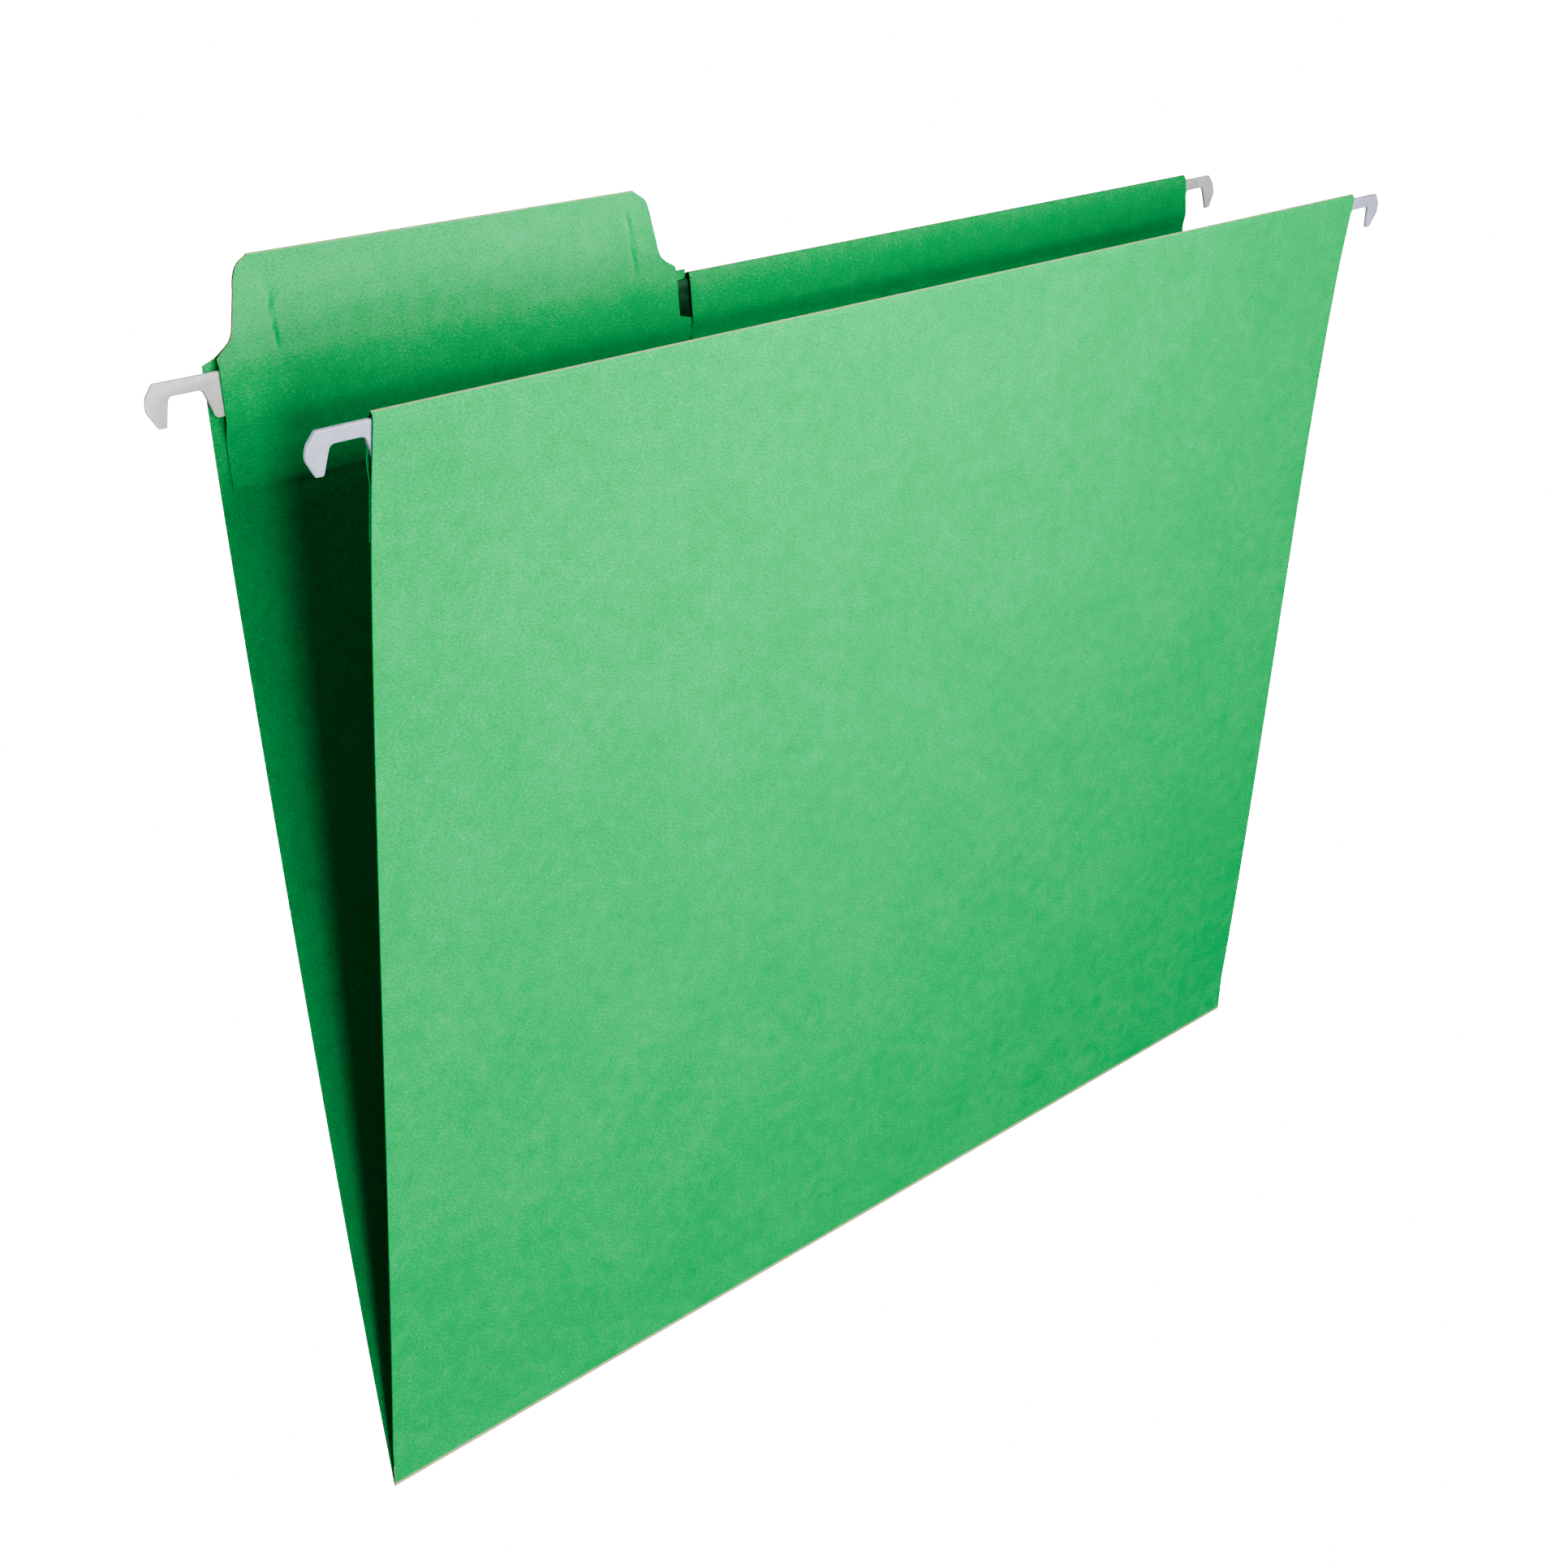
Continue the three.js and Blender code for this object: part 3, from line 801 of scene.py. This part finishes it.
def inset(corners, distance):
    """The same counter-clockwise corners moved inwards, with each rounding kept concentric."""
    moved = []
    for i, (x, q, radius) in enumerate(corners):
        here = np.array([x, q])
        before, after = np.array(corners[i - 1][:2]), np.array(corners[(i + 1) % len(corners)][:2])
        arriving = (here - before) / np.linalg.norm(here - before)
        leaving = (after - here) / np.linalg.norm(after - here)
        normals = [np.array([-v[1], v[0]]) for v in (arriving, leaving)]
        middle = (normals[0] + normals[1]) / np.linalg.norm(normals[0] + normals[1])
        here = here + middle * distance / (middle @ normals[0])
        turns_left = arriving[0] * leaving[1] - arriving[1] * leaving[0] > 0
        moved.append((*here, max(0.1, radius - distance if turns_left else radius + distance)))
    return moved


def plate(name, side, outline, thickness, round_edge=0.0):
    """An outline in (x, q) made into a plate in a side's rod section, with its edges rounded."""
    mesh = bpy.data.meshes.new(name)
    bm = bmesh.new()
    corners = [bm.verts.new((x, thickness / 2, q)) for x, q in outline]
    face = bm.faces.new(corners)
    grown = bmesh.ops.extrude_face_region(bm, geom=[face])
    moved = [v for v in grown["geom"] if isinstance(v, bmesh.types.BMVert)]
    bmesh.ops.translate(bm, verts=moved, vec=(0, -thickness, 0))
    bmesh.ops.recalc_face_normals(bm, faces=bm.faces)
    turned = Matrix.Rotation(-side.sign * side.lean, 4, "X")
    placed = Matrix.Translation((0, side.seat[0], side.seat[1])) @ turned
    bmesh.ops.transform(bm, matrix=Matrix.Scale(MM, 4) @ placed, verts=bm.verts)
    bm.to_mesh(mesh)
    bm.free()
    obj = bpy.data.objects.new(name, mesh)
    bpy.context.scene.collection.objects.link(obj)
    if round_edge:
        bevel = obj.modifiers.new("rounding", "BEVEL")
        bevel.width = round_edge * MM
        bevel.segments = 4
        bevel.limit_method = "ANGLE"
        bevel.angle_limit = math.radians(60)
    return obj


def rod_outline(distance):
    """Both hooks and the strip between them, moved inwards by a distance."""
    corners = inset(list(HOOK_CORNERS) + [(-x, q, r) for x, q, r in reversed(HOOK_CORNERS)], distance)
    return rounded(corners)


def steel_strip(name, side):
    strip = plate(name, side, rod_outline(COAT), STEEL_THICKNESS, STRIP_ROUNDING)
    finish_plate(strip, steel_in_painted_shade)
    return strip


def coated_tip(name, side, end, material):
    """The coating on one end of a rod, -1 or 1: a skin that is open where the strip comes out of it."""
    half = [
        (COAT_START, ROD_FOOT_Q, 0),
        *HOOK_CORNERS,
        (COAT_START, ROD_TOP_Q, 0),
    ]
    outline = rounded(half, 9)
    outline[:, 0] *= end
    tip = plate(name, side, outline, HOOK_THICKNESS, COAT_ROUNDING)
    core_outline = rod_outline(COAT - COAT_CLEARANCE)
    core = plate("core", side, core_outline, STEEL_THICKNESS + 2 * COAT_CLEARANCE)
    cut = tip.modifiers.new("hollow", "BOOLEAN")
    cut.operation = "DIFFERENCE"
    cut.object = core
    cut.solver = "EXACT"
    finish_plate(tip, material)
    bpy.data.objects.remove(core)
    return tip


def finish_plate(obj, material):
    apply_modifiers(obj)
    obj.data.materials.clear()
    obj.data.materials.append(material)
    obj.data.shade_smooth()
    obj.data.set_sharp_from_angle(angle=math.radians(40))


def build_rods():
    for side, key, body, coating in (
        (front, "front", "moving_rod", shaded_front_coating),
        (back, "back", "hung_rod", back_coating),
    ):
        strip = steel_strip(f"{key}_rod_strip", side)
        place_piece(strip, body, "rod_steel", f"{key}_rod")
        for end, word in ((-1, "left"), (1, "right")):
            tip = coated_tip(f"{key}_{word}_hook_coating", side, end, coating)
            place_piece(tip, body, "tip_coating", f"{key}_rod_{word}_tip")


def place_piece(obj, body, slot, *nodes):
    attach(obj, body)
    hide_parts(*nodes)


# ---- Card ----


def build_card():
    panel = front_sheet()
    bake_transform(panel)
    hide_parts("front_panel", "front_bottom_strip")

    gusset = gusset_sheet()
    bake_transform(gusset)
    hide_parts("front_bottom_strip", "back_bottom_strip")

    panel = back_sheet()
    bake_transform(panel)
    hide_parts("back_panel", "tab_front_ply", "back_bottom_strip")


def dress_adhesive():
    for name in ("front_flap_adhesive", "back_flap_adhesive", "tab_flap_adhesive", "tab_adhesive"):
        film = frame["nodes"][name]
        film.data.materials.clear()
        film.data.materials.append(adhesive)


# ---- Stage ----

# The stage's places and sizes and the camera's place are in metres. The camera's angles are in degrees,
# its lens and its sensor in millimetres.
FLOOR_Z = -0.62
FLOOR_HALF_SIZE = 25
WORLD_LIGHT = 0.1
BACKGROUND_LIGHT = 9
# Each softbox: where it stands, what it faces, its width and height, and its power in watts.
SOFTBOXES = {
    "key": ((-0.01, -0.57, 0.08), (-0.01, 0, -0.03), (0.54, 0.36), 2.7),
    "low": ((0, -0.5, -0.07), (0, 0, -0.05), (0.35, 0.1), 0.85),
    "close": ((0, -0.24, 0.075), (0, 0, 0), (0.14, 0.1), 0.33),
    "left": ((-0.29, -0.5, -0.19), (-0.15, 0, -0.12), (0.08, 0.4), 0.95),
    "edges": ((-1.2, 0.02, -0.05), (0, 0, -0.1), (0.15, 0.4), 8),
    "top": ((0, -0.1, 0.8), (0, 0, 0), (0.5, 0.3), 1.4),
    "behind": ((0.25, 0.95, 0.1), (0, 0, -0.1), (0.9, 0.7), 12),
}


def stage_material():
    shader = Shader("pale_floor")
    shader.surface.inputs["Base Color"].default_value = (0.9, 0.9, 0.9, 1)
    shader.surface.inputs["Roughness"].default_value = 1
    shader.surface.inputs["Specular IOR Level"].default_value = 0
    shader.surface.inputs["Emission Color"].default_value = (1, 1, 1, 1)
    shader.surface.inputs["Emission Strength"].default_value = BACKGROUND_LIGHT
    return shader.material


floor_material = stage_material()


def build_floor():
    mesh = bpy.data.meshes.new("floor")
    size = FLOOR_HALF_SIZE
    corners = [(-size, -size, 0), (size, -size, 0), (size, size, 0), (-size, size, 0)]
    mesh.from_pydata(corners, [], [(0, 1, 2, 3)])
    mesh.materials.append(floor_material)
    floor = bpy.data.objects.new("floor", mesh)
    bpy.context.scene.collection.objects.link(floor)
    floor.location.z = FLOOR_Z
    floor.visible_diffuse = False
    floor.visible_glossy = False


def area_light(name, place, target, size, watts):
    data = bpy.data.lights.new(name, "AREA")
    data.shape = "RECTANGLE"
    data.size, data.size_y = size
    data.energy = watts
    light = bpy.data.objects.new(name, data)
    bpy.context.scene.collection.objects.link(light)
    light.location = place
    light.rotation_mode = "QUATERNION"
    light.rotation_quaternion = (Vector(target) - Vector(place)).to_track_quat("-Z", "Y")
    light.visible_camera = False
    return light


def build_world():
    """A weak even light that looks white behind the object."""
    world = bpy.data.worlds.new("studio")
    world.use_nodes = True
    tree = world.node_tree
    background = tree.nodes["Background"]
    background.inputs["Color"].default_value = (1, 1, 1, 1)
    path = tree.nodes.new("ShaderNodeLightPath")
    strength = tree.nodes.new("ShaderNodeMapRange")
    strength.inputs["To Min"].default_value = WORLD_LIGHT
    strength.inputs["To Max"].default_value = BACKGROUND_LIGHT
    tree.links.new(path.outputs["Is Camera Ray"], strength.inputs["Value"])
    tree.links.new(strength.outputs["Result"], background.inputs["Strength"])
    bpy.context.scene.world = world


def build_lights():
    build_world()
    for name, (place, target, size, watts) in SOFTBOXES.items():
        area_light(name, place, target, size, watts)


# ---- Camera ----

CAMERA_PLACE = (-0.37464, -0.35653, 0.09872)
CAMERA_AZIMUTH = -44.253
CAMERA_ELEVATION = 22.608
CAMERA_ROLL = -1.18
CAMERA_LENS = 54.315
CAMERA_SHIFT = (-0.0013, -0.0013)
SENSOR = 36


def build_camera():
    azimuth, elevation = math.radians(CAMERA_AZIMUTH), math.radians(CAMERA_ELEVATION)
    ahead = math.cos(elevation)
    forward = Vector((-math.sin(azimuth) * ahead, math.cos(azimuth) * ahead, -math.sin(elevation)))
    level = forward.cross(Vector((0, 0, 1))).normalized()
    turn = Matrix.Rotation(math.radians(-CAMERA_ROLL), 3, forward)
    right = turn @ level
    up = right.cross(forward)
    data = bpy.data.cameras.new("camera")
    data.lens = CAMERA_LENS
    data.sensor_width = SENSOR
    data.shift_x, data.shift_y = CAMERA_SHIFT
    data.clip_start = 0.01
    data.clip_end = 100
    camera = bpy.data.objects.new("camera", data)
    bpy.context.scene.collection.objects.link(camera)
    rotation = Matrix((right, up, -forward)).transposed().to_4x4()
    camera.matrix_world = Matrix.Translation(CAMERA_PLACE) @ rotation
    bpy.context.scene.camera = camera


# ---- Scene ----

build_camera()
build_card()
build_rods()
dress_adhesive()
build_floor()
build_lights()
bpy.context.scene.view_settings.look = "AgX - High Contrast"
